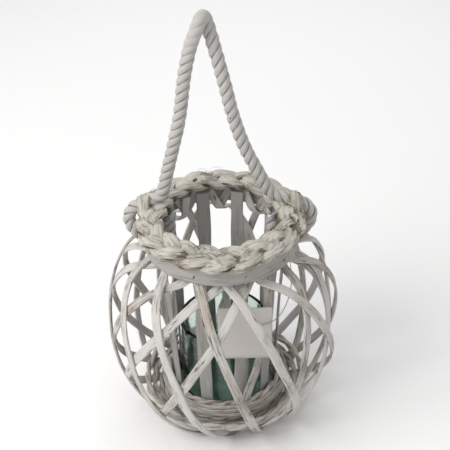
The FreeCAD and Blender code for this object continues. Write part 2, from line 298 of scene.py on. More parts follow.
@dataclass(frozen=True)
class Cotton:
    """Spun cotton: off-white, greyer in the lay's grooves as painted shade, fuzzy, with a few specks of bark.
    """

    name: str
    fibre: Colour = (0.485, 0.47, 0.45)
    # The groove colour is painted shade, laid into the lay's grooves by the hollow attribute.
    groove: Colour = (0.12, 0.105, 0.09)
    speck: Colour = (0.03, 0.025, 0.02)
    scale: float = 1.0
    specks: float = 1.0

    def material(self) -> bpy.types.Material:
        """Yarns are fine noise along the strand; the grooves' painted shade comes from the depth in the lay.

        Returns:
            The finished material.
        """
        g = Graph(self.name)
        grain = g.grain()
        hollow = g.amount("hollow")
        fine = 1.5 * self.scale
        yarn = g.noise(g.stretch(grain, (0.16 * self.scale, fine, fine)), 1.0, 5.0, 0.65)
        fuzz = g.noise(grain, 1.8 * self.scale, 3.0, 0.7)
        soil = g.noise(g.place(), 34.0, 3.0, 0.6)
        grit = g.spots(g.stretch(g.place(), (1.0, 1.0, 0.7)), 150.0).ease(0.17, 0.10)
        speck = grit * soil.ease(0.55, 0.60) * self.specks
        tone = g.blend(soil.ease(0.35, 0.7) * 0.3, self.fibre, shade(self.fibre, 0.86))
        tone = g.blend(yarn.ease(0.3, 0.7) * 0.30, tone, shade(self.fibre, 0.82))
        # Painted shade in the lay's grooves.
        tone = g.blend(hollow.ease(0.12, 0.9) * 0.92, tone, self.groove)
        tone = g.blend(speck, tone, self.speck)
        relief = yarn * 0.7 + fuzz * 0.3
        return g.surface({
            "Base Color": tone, "Roughness": 0.82 + fuzz * 0.15, "Specular IOR Level": 0.15,
            "Sheen Weight": 0.25, "Sheen Roughness": 0.5, "Normal": g.bump(relief, 0.0006, 0.8)})


@dataclass(frozen=True)
class BottleGlass:
    """Thick recycled glass, blue-green, with faint ripples from the mould."""

    name: str
    tint: Colour = (0.74, 0.875, 0.83)

    def material(self) -> bpy.types.Material:
        """A clear tinted body whose surface ripples slowly.

        Returns:
            The finished material.
        """
        g = Graph(self.name)
        ripple = g.noise(g.stretch(g.place(), (1.0, 1.0, 2.2)), 26.0, 2.0, 0.4)
        seed = g.spots(g.place(), 120.0).ease(0.12, 0.05)
        return g.surface({
            "Base Color": g.blend(ripple.ease(0.3, 0.7), self.tint, shade(self.tint, 0.93)),
            "Roughness": 0.03 + ripple * 0.03, "IOR": 1.4, "Transmission Weight": 1.0,
            "Normal": g.bump(ripple - seed * 0.15, 0.0016, 0.7)})


@dataclass(frozen=True)
class Card:
    """Uncoated board, faintly mottled, with soft fibres."""

    name: str
    board: Colour = (0.57, 0.54, 0.515)

    def material(self) -> bpy.types.Material:
        """Two sizes of mottling and a fine tooth.

        Returns:
            The finished material.
        """
        g = Graph(self.name)
        mottle = g.noise(g.place(), 90.0, 4.0, 0.6)
        tooth = g.noise(g.place(), 1500.0, 3.0, 0.6)
        tone = g.blend(mottle.ease(0.3, 0.7), self.board, shade(self.board, 0.95))
        tone = g.blend(tooth.ease(0.45, 0.75) * 0.25, tone, shade(self.board, 0.88))
        return g.surface({
            "Base Color": tone, "Roughness": 0.70 + tooth * 0.15, "Specular IOR Level": 0.3,
            "Normal": g.bump(tooth, 0.00008, 0.5)})


@dataclass(frozen=True)
class Metal:
    """Drawn or stamped steel, dulled unevenly."""

    name: str
    bright: Colour = (0.62, 0.64, 0.68)
    dull: Colour = (0.30, 0.31, 0.34)
    polish: float = 0.26

    def material(self) -> bpy.types.Material:
        """Two tones of metal and a roughness that follows them.

        Returns:
            The finished material.
        """
        g = Graph(self.name)
        cloud = g.noise(g.place(), 420.0, 4.0, 0.6)
        scratch = g.noise(g.stretch(g.place(), (1.0, 1.0, 7.0)), 900.0, 2.0)
        return g.surface({
            "Base Color": g.blend(cloud.ease(0.35, 0.65), self.bright, self.dull), "Metallic": 1.0,
            "Roughness": self.polish + cloud * 0.35, "Normal": g.bump(scratch, 0.00006, 0.6)})


@dataclass(frozen=True)
class Plaster:
    """The studio's floor: pale, smooth and barely mottled."""

    name: str
    tone: Colour = (0.86, 0.86, 0.86)

    def material(self) -> bpy.types.Material:
        """A broad faint mottling.

        Returns:
            The finished material.
        """
        g = Graph(self.name)
        cloud = g.noise(g.place(), 1.3, 2.0)
        return g.surface({
            "Base Color": g.blend(cloud * 0.3, self.tone, shade(self.tone, 0.98)),
            "Roughness": 0.9, "Specular IOR Level": 0.1})


class Palette(Enum):
    """Every finish on the lantern."""

    STRIP = Willow("whitewashed_split_willow", cracking=0.9, flecks=0.85)
    # The slats' darker, plainer wash is painted shade of the basket's inside, on the same willow as the
    # strips.
    SLAT = Willow("whitewashed_slat_painted_shade", wash=(0.42, 0.405, 0.39), thin_wash=0.16, cracking=0.25, flecks=0.15)
    HOOP = Willow("whitewashed_hoop", wash=(0.43, 0.41, 0.39), thin_wash=0.12, cracking=0.3, flecks=0.2)
    ROD = Willow("whitewashed_rod", wash=(0.62, 0.59, 0.54), thin_wash=0.4, cracking=0.8, flecks=0.4)
    FLOOR = Willow("whitewashed_ply", wash=(0.56, 0.535, 0.50), thin_wash=0.3, cracking=0.5, flecks=0.3)
    PLAIT = LeafStrand("plaited_leaf")
    ROPE = Cotton("cotton_rope")
    # The thread's groove colour is painted shade in its lay, as on the rope.
    THREAD = Cotton(
        "cotton_thread", fibre=(0.46, 0.41, 0.31), groove=(0.2, 0.16, 0.11), scale=5.0, specks=0.0)
    GLASS = BottleGlass("bottle_glass")
    CARD = Card("blank_card")
    WIRE = Metal("galvanised_wire")
    NAIL = Metal("nail_steel", bright=(0.26, 0.24, 0.22), dull=(0.10, 0.08, 0.07), polish=0.5)

    def material(self) -> bpy.types.Material:
        """The finish's material, made once."""
        return bpy.data.materials.get(self.value.name) or self.value.material()


# ---------------------------------------------------------------- curves and surfaces


def unit(vectors: np.ndarray) -> np.ndarray:
    """Vectors over their own lengths."""
    return vectors / np.linalg.norm(vectors, axis=-1, keepdims=True)


def circle(count: int) -> np.ndarray:
    """Evenly spaced angles all the way round, in radians."""
    return np.linspace(0, TAU, count, endpoint=False)


def squarer(wave: np.ndarray, power: float) -> np.ndarray:
    """A sine or cosine to a power, its sign kept: a power below 1 squares off the section that it draws."""
    return np.sign(wave) * np.abs(wave) ** power


def around(azimuth: np.ndarray, radius: np.ndarray | float, height: np.ndarray | float) -> np.ndarray:
    """Points at an azimuth in radians, a distance from the axis and a height.

    The place is (radius sin azimuth, minus radius cos azimuth, height).
    """
    azimuth, radius, height = np.broadcast_arrays(azimuth, radius, height)
    return np.stack([radius * np.sin(azimuth), -radius * np.cos(azimuth), height], axis=-1)


def along(points: np.ndarray) -> np.ndarray:
    """Distance of each point along its line, from 0."""
    steps = np.linalg.norm(np.diff(points, axis=0), axis=1)
    return np.concatenate([[0.0], np.cumsum(steps)])


def resample(points: np.ndarray, count: int) -> np.ndarray:
    """That many evenly spaced points on a line of points."""
    distance = along(points)
    wanted = np.linspace(0.0, distance[-1], count)
    return np.stack([np.interp(wanted, distance, column) for column in points.T], axis=-1)


def arc(centre: tuple[float, float], radius: float, start: float, finish: float, count: int) -> np.ndarray:
    """Points of a profile on an arc, from one angle in radians to another."""
    angle = np.linspace(start, finish, count)
    return np.stack([centre[0] + radius * np.cos(angle), centre[1] + radius * np.sin(angle)], axis=1)


def through(points: list[tuple[float, ...]], count: int) -> np.ndarray:
    """A smooth line through points: the natural cubic spline over the chord length.

    The second derivatives at the points solve one linear system, and each span is the cubic that
    they and the end points give.

    Args:
        points: what it passes through.
        count: how many evenly spaced points to return.

    Returns:
        The line's points.
    """
    p = np.array(points, float)
    t = along(p)
    h = np.diff(t)
    n = len(p)
    system = np.eye(n)
    inner = np.arange(1, n - 1)
    system[inner, inner - 1] = h[:-1]
    system[inner, inner] = 2 * (h[:-1] + h[1:])
    system[inner, inner + 1] = h[1:]
    bend = np.zeros_like(p)
    bend[1:-1] = 6 * (np.diff(p[1:], axis=0) / h[1:, None] - np.diff(p[:-1], axis=0) / h[:-1, None])
    second = np.linalg.solve(system, bend)
    fine = np.linspace(0.0, t[-1], 2000)
    span = np.clip(np.searchsorted(t, fine, side="right") - 1, 0, n - 2)
    left = (t[span + 1] - fine)[:, None]
    right = (fine - t[span])[:, None]
    width = h[span][:, None]
    line = (second[span] * left ** 3 + second[span + 1] * right ** 3) / (6 * width)
    line += (p[span] / width - second[span] * width / 6) * left
    line += (p[span + 1] / width - second[span + 1] * width / 6) * right
    return resample(line, count)


def wander(distance: np.ndarray, seed: float, wave: float, size: float) -> np.ndarray:
    """A slow irregular wave: three sines of unrelated lengths and phases, added up.

    Args:
        distance: where it is read, in metres.
        seed: shifts the phases, so that two pieces differ.
        wave: the longest wave's length.
        size: about the largest value.

    Returns:
        The wave's value at each distance.
    """
    shares = ((1.0, 0.55), (1.73, 0.30), (3.1, 0.15))
    return size * sum(
        share * np.sin(TAU * rate * distance / wave + seed * (1.7 + 2.3 * rate)) for rate, share in shares)


@dataclass
class Sheet:
    """A surface on a grid: rows along it and columns round it. Wear and hollow run from 0 to about 1."""

    places: np.ndarray
    grain: np.ndarray
    wear: np.ndarray | float = 0.0
    hollow: np.ndarray | float = 0.0
    rows_close: bool = False
    columns_close: bool = True

    def faces(self, first: int) -> list[list[int]]:
        """The grid's four-sided faces, and an end face on each open end of a tube.

        Args:
            first: the number of the grid's first vertex in its mesh.

        Returns:
            Each face's vertex numbers.
        """
        rows, columns = self.places.shape[:2]
        number = np.arange(rows * columns).reshape(rows, columns) + first
        if self.rows_close:
            number = np.vstack([number, number[:1]])
        if self.columns_close:
            number = np.hstack([number, number[:, :1]])
        corners = [number[:-1, :-1], number[1:, :-1], number[1:, 1:], number[:-1, 1:]]
        faces = np.stack(corners, axis=-1).reshape(-1, 4).tolist()
        if self.columns_close and not self.rows_close:
            faces += [number[0, :columns].tolist(), number[-1, :columns][::-1].tolist()]
        return [face[::-1] for face in faces] if self.inside_out() else faces

    def inside_out(self) -> bool:
        """Whether the grid's faces point inward: the sum of place dot normal times area is negative.

        A surface with no inside keeps the order of its rows and columns.
        """
        if not self.columns_close:
            return False
        p = np.concatenate([self.places, self.places[:, :1]], axis=1)
        if self.rows_close:
            p = np.concatenate([p, p[:1]], axis=0)
        middle = (p[:-1].mean(axis=1, keepdims=True) + p[1:].mean(axis=1, keepdims=True)) / 2
        diagonal = np.cross(p[1:, 1:] - p[:-1, :-1], p[:-1, 1:] - p[1:, :-1])
        return float(np.sum((p[:-1, :-1] - middle) * -diagonal)) > 0


def make_piece(name: str, sheets: list[Sheet], finish: Palette) -> bpy.types.Object:
    """Puts sheets into one mesh with its grain, wear and hollow attributes.

    Args:
        name: the piece's name.
        sheets: its surfaces.
        finish: what it is made of.

    Returns:
        The new object, at the origin.
    """
    places = np.concatenate([sheet.places.reshape(-1, 3) for sheet in sheets])
    grains = np.concatenate([sheet.grain.reshape(-1, 3) for sheet in sheets])
    faces: list = []
    first = 0
    for sheet in sheets:
        faces += sheet.faces(first)
        first += sheet.places.shape[0] * sheet.places.shape[1]
    mesh = bpy.data.meshes.new(name)
    mesh.from_pydata(places.tolist(), [], faces)
    mesh.polygons.foreach_set("use_smooth", np.ones(len(faces), bool))
    grain = mesh.attributes.new("grain", "FLOAT_VECTOR", "POINT")
    grain.data.foreach_set("vector", grains.astype(np.float32).ravel())
    for label in ("wear", "hollow"):
        column = [np.broadcast_to(getattr(sheet, label), sheet.places.shape[:2]).ravel() for sheet in sheets]
        amount = mesh.attributes.new(label, "FLOAT", "POINT")
        amount.data.foreach_set("value", np.concatenate(column).astype(np.float32))
    mesh.materials.append(finish.material())
    mesh.update()
    piece = bpy.data.objects.new(name, mesh)
    bpy.context.scene.collection.objects.link(piece)
    return piece


def settle(piece: bpy.types.Object, body: str, slot: str, *nodes: str) -> bpy.types.Object:
    """Hands a finished piece to its body and reports it.

    Args:
        piece: the finished piece.
        body: what it moves with.
        slot: not used.
        nodes: the solids that it stands for.

    Returns:
        The piece.
    """
    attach(piece, body)
    if nodes:
        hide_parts(*nodes)
    LOG.info("%s: %d faces, on %s", piece.name, len(piece.data.polygons), body)
    return piece


def swept(centre: np.ndarray, side: np.ndarray, out: np.ndarray, across: np.ndarray, rise: np.ndarray,
          distance: np.ndarray, seed: float, wear: np.ndarray | float = 0.0,
          hollow: np.ndarray | float = 0.0, rows_close: bool = False) -> Sheet:
    """A section carried along a line: place = centre + across times side + rise times out.

    Args:
        centre: the line, one row a station.
        side: each station's sideways direction.
        out: each station's outward direction.
        across: the section's sideways coordinate, by station and by point, or by point alone.
        rise: the section's outward coordinate, likewise.
        distance: each station's distance along the line.
        seed: moves the grain, so that no two pieces share it.
        wear: how worn each point is.
        hollow: how deep in a groove each point lies, where the finishes paint shade.
        rows_close: whether the line comes back to its start.

    Returns:
        The surface.
    """
    run, across, rise = np.broadcast_arrays(distance[:, None], across, rise)
    places = centre[:, None] + across[..., None] * side[:, None] + rise[..., None] * out[:, None]
    grain = np.stack([run + seed * 0.37, across + seed * 0.11, rise + seed * 0.05], axis=-1)
    return Sheet(places, grain, wear, hollow, rows_close)


def frames(line: np.ndarray, guide: np.ndarray, closed: bool = False) -> tuple[np.ndarray, np.ndarray]:
    """Directions beside and out of a line: out is the guide less its share along the line.

    Args:
        line: the line's points.
        guide: one direction for all, or one a point.
        closed: whether the line comes back to its start.

    Returns:
        The sideways and the outward directions, with side = along cross out.
    """
    if closed:
        tangent = unit(np.gradient(np.concatenate([line[-2:], line, line[:2]]), axis=0))[2:-2]
    else:
        tangent = unit(np.gradient(line, axis=0))
    guide = np.broadcast_to(guide, line.shape)
    out = unit(guide - np.sum(guide * tangent, axis=1, keepdims=True) * tangent)
    return np.cross(tangent, out), out


def lath(azimuth: np.ndarray, radius: np.ndarray, height: np.ndarray, across: np.ndarray,
         rise: np.ndarray, seed: float, wear: np.ndarray | float) -> Sheet:
    """A section carried round the axis with its sideways direction straight up.

    Args:
        azimuth: the stations.
        radius: each station's distance from the axis.
        height: each station's height.
        across: the section's upward coordinate, by station and by point.
        rise: the section's outward coordinate, likewise.
        seed: moves the grain.
        wear: how worn it is.

    Returns:
        The surface.
    """
    centre = around(azimuth, radius, height)
    up = np.broadcast_to(np.array([0.0, 0.0, 1.0]), centre.shape)
    out = around(azimuth, 1.0, 0.0)
    return swept(centre, up, out, across, rise, azimuth * radius, seed, wear, rows_close=True)


def smooth_route(name: str, points: list[tuple[float, float, float]]) -> np.ndarray:
    """Reads the smooth line that a route's points control.

    Args:
        name: a name for the passing curve.
        points: the control points, in metres.

    Returns:
        The curve's own points, close together.
    """
    curve = bpy.data.curves.new(name, "CURVE")
    curve.dimensions = "3D"
    curve.resolution_u = 24
    spline = curve.splines.new("NURBS")
    spline.points.add(len(points) - 1)
    spline.points.foreach_set("co", np.array([(*point, 1.0) for point in points]).ravel())
    spline.order_u = 3
    spline.use_endpoint_u = True
    holder = bpy.data.objects.new(name, curve)
    bpy.context.scene.collection.objects.link(holder)
    bpy.context.view_layer.update()
    mesh = bpy.data.meshes.new_from_object(holder)
    line = np.zeros(len(mesh.vertices) * 3)
    mesh.vertices.foreach_get("co", line)
    bpy.data.objects.remove(holder)
    bpy.data.meshes.remove(mesh)
    return line.reshape(-1, 3)


# ---------------------------------------------------------------- the willow globe


@dataclass
class Globe:
    """The globe of split willow: two layers of crossing strips, two upright ones and one inside.

    A strip's azimuths are in degrees, the first under the rim and the second under the base.
    """

    width: float = 8.7 * MM
    thickness: float = 2.8 * MM
    layer_gap: float = 0.45 * MM
    radius: float = 113.1 * MM
    tuck_radius: float = 69.0 * MM
    tuck_top: float = 211.2 * MM
    band_bottom: float = 195.0 * MM
    inset: float = 50.0 * MM
    stations: int = 230
    points: int = 26
    outer: tuple = ((-58, 17), (-26, 42), (-6, 74), (16, 126), (57, 140), (83, 162),
                    (138, 205), (172, 240), (200, 270), (228, 318), (275, 352))
    inner: tuple = ((-12, -144), (20, -127), (39, -82), (66, 16), (92, 34), (129, 70),
                    (158, 100), (190, 128), (221, 152), (287, 182), (312, 200))
    upright: tuple = ((76, 70), (213, 222))
    upright_share: float = 0.81
    inside: tuple = (40, 20.5, 2.5)
    furrows: tuple = (-0.62, -0.2, 0.18, 0.58)
    furrow_width: float = 0.33 * MM
    furrow_depth: float = 0.30 * MM

    def meridian(self) -> np.ndarray:
        """The globe's profile, distance from the axis and height, evenly spaced from rim band to base."""
        wide, tuck = self.radius, self.tuck_radius
        flare, foot = self.band_bottom - 0.8 * MM, self.thickness / 2
        heads = [(tuck, self.tuck_top), (tuck, self.tuck_top - 7 * MM), (tuck, flare + 4 * MM),
                 (tuck, flare + 0.6 * MM), (tuck + 0.7 * MM, flare - 2.2 * MM),
                 (tuck + 2.8 * MM, flare - 4.2 * MM), (tuck + 6.2 * MM, flare - 5.6 * MM),
                 (wide * 0.72, flare - 7.8 * MM)]
        shares = ((0.81, 180.2), (0.893, 168.0), (0.968, 146.0), (1.0, 118.0), (1.0, 92.0), (0.957, 62.0),
                  (0.872, 39.0), (0.765, 21.0), (0.665, 8.6))
        sides = [(wide * share, height * MM) for share, height in shares]
        feet = [(wide * 0.6, foot + 1.7 * MM), (wide * 0.545, foot + 0.1 * MM), (wide * 0.5, foot),
                (self.inset, foot)]
        return through(heads + sides + feet, self.stations)

    def inside_meridian(self) -> np.ndarray:
        """The profile of the strip that hangs between cage and globe, from its solid's top to its foot."""
        low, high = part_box("inside_strip")
        head = self.tuck_radius - 2 * (self.thickness + self.layer_gap)
        steps = ((0.0, 204.0), (0.3, 196.0), (3.4, 186.0), (7.2, 172.0), (7.2, 137.0), (4.2, 95.0))
        sides = [(head + out * MM, height * MM) for out, height in steps]
        return through([(head, high.z)] + sides + [(58.5 * MM, low.z)], self.stations)

    @staticmethod
    def line(profile: np.ndarray, depth: float, start: float, finish: float,
             bow: float = 0.0) -> tuple[np.ndarray, np.ndarray]:
        """The middle of a strip: it turns in proportion to length over radius squared, the straightest way.

        Args:
            profile: the layer's profile, distance from the axis and height.
            depth: how far under the profile it lies.
            start: its azimuth under the rim, in degrees.
            finish: its azimuth under the base, in degrees.
            bow: how many degrees it strays half way.

        Returns:
            The line's points and the directions out of the globe.
        """
        tangent = unit(np.gradient(profile, axis=0))
        normal = np.stack([-tangent[:, 1], tangent[:, 0]], axis=1)
        middle = profile - normal * depth
        mean = (middle[1:, 0] + middle[:-1, 0]) / 2
        step = np.linalg.norm(np.diff(middle, axis=0), axis=1)
        turned = np.concatenate([[0.0], np.cumsum(step / mean ** 2)])
        passed = turned / turned[-1]
        azimuth = np.radians(start + (finish - start) * passed + bow * np.sin(math.pi * passed))
        return around(azimuth, middle[:, 0], middle[:, 1]), around(azimuth, normal[:, 0], normal[:, 1])

    def split(self, node: str, line: tuple[np.ndarray, np.ndarray], seed: float, width: float,
              thickness: float, worn: float, finish: Palette) -> bpy.types.Object:
        """One split of willow: flat inside and rounded on the bark side, with wandering edges and furrows.

        The section is a rounded box whose outer half bulges; furrows are narrow dips at a few places
        across it that open and close along its length.

        Args:
            node: the solid that it stands for.
            line: its middle line and the direction out of the globe at each point.
            seed: sets its irregularities.
            width: across the grain.
            thickness: through the bark.
            worn: how worn it is, 0 to 1.
            finish: what it is made of.

        Returns:
            The new object.
        """
        centre, outward = line
        distance = along(centre)
        side, out = frames(centre, outward)
        ends = np.minimum(1.0, np.minimum(distance, distance[-1] - distance) / (25 * MM))
        centre = centre + side * (wander(distance, seed, 150 * MM, 1.0 * MM) * ends)[:, None]
        turn = circle(self.points)[None]
        cosine, sine = np.cos(turn), np.sin(turn)
        half = width / 2 * (1 + wander(distance, seed + 3.0, 110 * MM, 0.09))[:, None]
        high = thickness / 2 * (1 + wander(distance, seed + 5.0, 90 * MM, 0.10))[:, None]
        across = half * squarer(cosine, 0.62)
        rise = high * np.where(sine > 0, np.abs(sine) ** 0.75, -np.abs(sine) ** 0.35)
        lean = across / half * (wander(distance, seed + 7.0, 70 * MM, 0.16))[:, None] * high
        furrow = np.zeros_like(across)
        for order, place in enumerate(self.furrows):
            at = place * half + wander(distance, seed + order, 60 * MM, 0.5 * MM)[:, None]
            opening = wander(distance, seed * 1.3 + order * 2.1, 85 * MM, 1.0) - 0.35 + worn
            furrow += np.clip(opening, 0, 1)[:, None] * np.exp(-((across - at) / self.furrow_width) ** 2)
        rise = rise + np.where(sine > 0, lean - self.furrow_depth * furrow, 0.0)
        # 0.3 of each furrow goes into the wear: painted shade along the furrows, drawn as bare wood, cracks
        #                                        and flecks, on top of the strip's real wear.
        wear = worn + wander(distance, seed + 11.0, 95 * MM, 0.28)[:, None] + 0.3 * furrow * (sine > 0)
        sheet = swept(centre, side, out, across, rise, distance, seed, np.clip(wear, 0, 1.3))
        return make_piece(f"willow_{node}", [sheet], finish)

    def build(self) -> None:
        """Makes every strip and hands it to the basket."""
        step = self.thickness + self.layer_gap
        layers = (("outer", self.outer, 1.0), ("inner", self.inner, 1.0),
                  ("upright", self.upright, self.upright_share))
        for order, (layer, strips, share) in enumerate(layers):
            profile = self.meridian()[:int(self.stations * share)]
            for number, (start, finish) in enumerate(strips, 1):
                seed = 10.0 * order + 1.37 * number
                line = self.line(profile, order * step, start, finish)
                self.strip(f"{layer}_strip_{number:02d}", line, seed, 0.28 + 0.24 * math.sin(seed * 2.9))
        self.strip("inside_strip", self.line(self.inside_meridian(), 0.0, *self.inside), 31.3, 0.4)

    def strip(self, node: str, line: tuple[np.ndarray, np.ndarray], seed: float, worn: float) -> None:
        """Makes one strip and hands it to the basket.

        Args:
            node: the solid that it stands for.
            line: its middle line and the directions out of the globe.
            seed: sets its irregularities.
            worn: how worn it is.
        """
        piece = self.split(node, line, seed, self.width, self.thickness, worn, Palette.STRIP)
        settle(piece, "basket", "strip", node)


@dataclass
class Cage:
    """The ten flat slats that stand round the jar, from the base to the rim."""

    globe: Globe
    width: float = 13.5 * MM
    thickness: float = 2.0 * MM
    floor_gap: float = 0.4 * MM
    stations: int = 150
    azimuths: tuple = (-65, -20, 17, 51, 90, 128, 164, 197, 235, 268)

    def build(self) -> None:
        """Each slat follows a leaning line between its own solid's foot and head."""
        foot = FLOOR_RADIUS + self.floor_gap + self.thickness / 2
        head = self.globe.tuck_radius - 7.9 * MM
        for number, azimuth in enumerate(self.azimuths, 1):
            node = f"cage_slat_{number:02d}"
            low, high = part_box(node)
            seed = 40.0 + 2.3 * number
            profile = through([
                (head, high.z), (head - 0.1 * MM, 196 * MM), (head - 2.0 * MM, 168 * MM),
                (head - 5.2 * MM, 122 * MM), (foot + 2.4 * MM, 76 * MM), (foot + 0.4 * MM, 44 * MM),
                (foot, 26 * MM), (foot, low.z)], self.stations)
            turn = np.full(self.stations, math.radians(azimuth))
            line = (around(turn, profile[:, 0], profile[:, 1]), around(turn, 1.0, 0.0))
            worn = 0.05 + 0.12 * math.sin(seed)
            piece = self.globe.split(node, line, seed, self.width, self.thickness, worn, Palette.SLAT)
            settle(piece, "basket", "slat", node)


# ---------------------------------------------------------------- the rim


@dataclass
class Rim:
    """The plait on the rim, the leaf strands over the rope, and the band round the strips' heads."""

    plait_radius: float = 67.0 * MM
    plait_height: float = 220.0 * MM
    slope: float = 16.0
    slope_change: float = 21.0
    back_rise: float = 2.8 * MM
    swing: float = 7.1 * MM
    lift: float = 2.5 * MM
    half_width: float = 7.3 * MM
    half_height: float = 3.5 * MM
    rounds: int = 6
    stations: int = 900
    points: int = 44
    frays: tuple = (-33.0, -25.0, 4.0, 12.0, 63.0, 72.0, 80.0, 94.0, 158.0, 191.0, 236.0, 283.0)
    fray_reach: float = 5.0
    blades: int = 24
    crossing: float = 105.2
    wrap_reach: float = 19.0
    wrap_radius: float = 74.5
    wrap_drift: float = 3.5
    wrap_foot: float = 215.0
    wrap_rise: float = 17.5
    wrap_half_width: float = 6.4 * MM
    wrap_half_height: float = 2.5 * MM
    band_walls: tuple = (70.7 * MM, 73.2 * MM)
    band_waver: float = 0.5 * MM
    band_seed: float = 0.4
    nail_profile: tuple = ((0.05, 0.0), (0.7, -0.04), (1.25, -0.16), (1.62, -0.38), (1.70, -0.6),
                           (1.62, -0.78), (0.62, -0.84), (0.58, -1.2), (0.55, -2.9), (0.05, -3.1))
    nail_half_width: float = 1.15
    nail_half_height: float = 0.34

    def lie(self, azimuth: np.ndarray, swing: np.ndarray, lift: np.ndarray) -> tuple[np.ndarray, ...]:
        """Carries a place in the plait's own section to the rim.

        The plait slopes outward in front, is nearly level at the back and rises there a little.

        Args:
            azimuth: where round the rim.
            swing: how far out along the slope.
            lift: how far off the slope.

        Returns:
            The distance from the axis, the height and the slope in radians.
        """
        back = (0.5 - 0.5 * np.cos(azimuth)) ** 2
        tilt = np.radians(self.slope - self.slope_change * back)
        radius = self.plait_radius + swing * np.cos(tilt) + lift * np.sin(tilt)
        height = self.plait_height + self.back_rise * back - swing * np.sin(tilt) + lift * np.cos(tilt)
        return radius, height, tilt

    def strand(self, order: int) -> Sheet:
        """One strand of the three-strand plait, all the way round.

        With the phase p running through all the rounds, the strand swings by sin p across the rim
        and rises by minus sin 2p, so that it passes over one neighbour and under the other. Its
        section is a flat oval folded into ribs, which roll as the strand turns back.

        Args:
            order: which of the three strands.

        Returns:
            The strand's surface.
        """
        azimuth = circle(self.stations)
        phase = self.rounds * azimuth + TAU * order / 3
        loose = 0.9 * MM * np.sin(5 * azimuth + order) + 0.6 * MM * np.sin(9 * azimuth + 2.1 * order)
        lift = -self.lift * np.sin(2 * phase) + 0.5 * MM * np.sin(7 * azimuth + 1.7 * order)
        radius, height, tilt = self.lie(azimuth, self.swing * np.sin(phase) + loose, lift)
        centre = around(azimuth, radius, height)
        side, out = frames(centre, around(azimuth, np.sin(tilt), np.cos(tilt)), closed=True)
        turn = circle(self.points)[None]
        swell = 1 + 0.10 * np.sin(11 * azimuth + order * 2.0) + 0.07 * np.sin(17 * azimuth + order)
        half = self.half_width * swell[:, None]
        high = self.half_height * (1 + 0.12 * np.sin(8 * azimuth + order * 3.0))[:, None]
        drift = (0.9 * np.sin(6 * azimuth + order) + 0.7 * np.sin(13 * azimuth + order * 1.3))[:, None]
        rib = 0.075 * np.cos(9 * turn + drift) + 0.05 * np.cos(14 * turn - 1.6 * drift + order)
        rib = rib + 0.03 * np.cos(21 * turn + 2.2 * drift)
        across = half * squarer(np.cos(turn), 0.85) * (1 + 0.35 * rib)
        rise = high * squarer(np.sin(turn), 0.8) * (1 + 1.9 * rib)
        roll = (0.42 * np.cos(phase) + 0.10 * np.sin(10 * azimuth + order))[:, None]
        rolled_rise = across * np.sin(roll) * 0.6 + rise * np.cos(roll)
        across = across * np.cos(roll) - rise * np.sin(roll)
        edge = np.abs(np.cos(turn)) ** 6
        under = np.clip(-np.sin(2 * phase), 0, 1)[:, None]
        apart = np.angle(np.exp(1j * (azimuth[:, None] - np.radians(self.frays)[None])))
        near = np.exp(-(apart / math.radians(self.fray_reach)) ** 2).max(axis=1)
        frayed = (near * (0.6 + 0.4 * np.sin(23 * azimuth)))[:, None]
        wear = np.clip(0.10 * edge + 0.75 * frayed * (0.5 + edge), 0, 1.2)
        # hollow is painted shade: along the strand's edges, most where it passes under a neighbour, less on
        # the ribs' crowns.
        hollow = np.clip(0.75 * edge * (0.3 + under) - 2.6 * rib, 0, 1)
        return swept(centre, side, out, across, rolled_rise, azimuth * self.plait_radius, 3.1 * order,
                     wear, hollow, rows_close=True)

    def wrap(self, side: int, seed: float) -> Sheet:
        """A leaf strand of the plait that runs over the rope where the rope crosses the rim.

        It leaves the plait's top, rises over the rope in one smooth hump and goes back into the plait.

        Args:
            side: -1 for the left crossing and 1 for the right.
            seed: sets its irregularities.

        Returns:
            The strand's surface.
        """
        step = np.linspace(-1.0, 1.0, 90)
        azimuth = side * np.radians(self.crossing + self.wrap_reach * step)
        radius = (self.wrap_radius + self.wrap_drift * step + 0.8 * np.sin(3 * step + seed)) * MM
        height = (self.wrap_foot + self.wrap_rise * np.cos(0.5 * math.pi * step) ** 2) * MM
        centre = around(azimuth, radius, height)
        beside, out = frames(centre, around(azimuth, 0.3, 1.0))
        turn = circle(36)[None]
        step = step[:, None]
        half = self.wrap_half_width * (1 + 0.10 * np.sin(5 * step + seed)) * (1 - 0.25 * step ** 2)
        rib = 0.08 * np.cos(9 * turn + 2 * step) + 0.05 * np.cos(15 * turn - 3 * step + seed)
        across = half * np.cos(turn) * (1 + 0.4 * rib)
        rise = self.wrap_half_height * squarer(np.sin(turn), 0.8) * (1 + 2.0 * rib)
        edge = np.abs(np.cos(turn)) ** 6
        # hollow is painted shade along the strand's edges and between its ribs.
        hollow = np.clip(0.5 * edge - 2.4 * rib, 0, 1)
        return swept(centre, beside, out, across, rise, along(centre), seed, 0.25 + 0.3 * edge, hollow)

